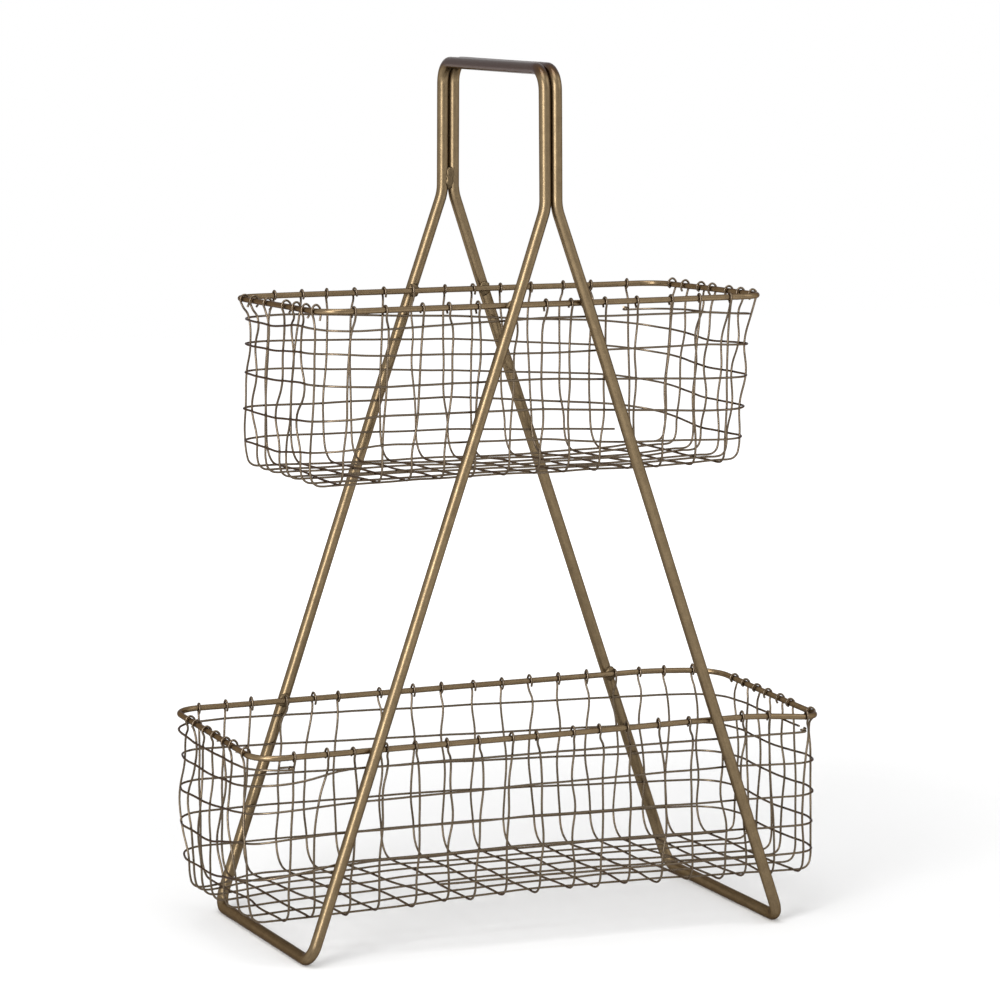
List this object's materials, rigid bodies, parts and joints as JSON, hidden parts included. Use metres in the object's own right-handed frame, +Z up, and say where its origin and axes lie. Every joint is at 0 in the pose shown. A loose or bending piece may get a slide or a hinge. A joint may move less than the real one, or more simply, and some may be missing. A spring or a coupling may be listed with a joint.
{
  "type": "tiered wire basket",
  "caption": "Free-standing tabletop stand: an A-shaped frame of bent round bar with a loop handle carries a small wire basket above a larger one.",
  "frame": {"origin": "on the table, under the middle of the stand", "axes": "+Z up to the handle, +X along the baskets' length, +Y from the front to the back"},
  "size_m": [0.317, 0.145, 0.445],
  "materials": {
    "frame_bar": "antique brass, satin, over steel bar",
    "rim_bar": "antique brass, satin, over steel bar",
    "basket_wire": "antique brass, satin, over steel wire"
  },
  "bodies": {
    "root": {"left_hoop": "frame_bar", "lower_cross_wire_01": "basket_wire", "lower_cross_wire_02": "basket_wire", "lower_cross_wire_03": "basket_wire", "lower_cross_wire_04": "basket_wire", "lower_cross_wire_05": "basket_wire", "lower_cross_wire_06": "basket_wire", "lower_cross_wire_07": "basket_wire", "lower_cross_wire_08": "basket_wire", "lower_cross_wire_09": "basket_wire", "lower_cross_wire_10": "basket_wire", "lower_cross_wire_11": "basket_wire", "lower_cross_wire_12": "basket_wire", "lower_cross_wire_13": "basket_wire", "lower_cross_wire_14": "basket_wire", "lower_cross_wire_15": "basket_wire", "lower_cross_wire_16": "basket_wire", "lower_cross_wire_17": "basket_wire", "lower_cross_wire_18": "basket_wire", "lower_long_wire_1": "basket_wire", "lower_long_wire_2": "basket_wire", "lower_long_wire_3": "basket_wire", "lower_long_wire_4": "basket_wire", "lower_long_wire_5": "basket_wire", "lower_long_wire_6": "basket_wire", "lower_long_wire_7": "basket_wire", "lower_rim": "rim_bar", "lower_ring_wire_1": "basket_wire", "lower_ring_wire_2": "basket_wire", "lower_ring_wire_3": "basket_wire", "lower_ring_wire_4": "basket_wire", "lower_ring_wire_5": "basket_wire", "right_hoop": "frame_bar", "upper_cross_wire_01": "basket_wire", "upper_cross_wire_02": "basket_wire", "upper_cross_wire_03": "basket_wire", "upper_cross_wire_04": "basket_wire", "upper_cross_wire_05": "basket_wire", "upper_cross_wire_06": "basket_wire", "upper_cross_wire_07": "basket_wire", "upper_cross_wire_08": "basket_wire", "upper_cross_wire_09": "basket_wire", "upper_cross_wire_10": "basket_wire", "upper_cross_wire_11": "basket_wire", "upper_cross_wire_12": "basket_wire", "upper_cross_wire_13": "basket_wire", "upper_long_wire_1": "basket_wire", "upper_long_wire_2": "basket_wire", "upper_long_wire_3": "basket_wire", "upper_long_wire_4": "basket_wire", "upper_long_wire_5": "basket_wire", "upper_long_wire_6": "basket_wire", "upper_long_wire_7": "basket_wire", "upper_rim": "rim_bar", "upper_ring_wire_1": "basket_wire", "upper_ring_wire_2": "basket_wire", "upper_ring_wire_3": "basket_wire", "upper_ring_wire_4": "basket_wire", "upper_ring_wire_5": "basket_wire", "weld_beads": "frame_bar"}
  },
  "joints": []
}
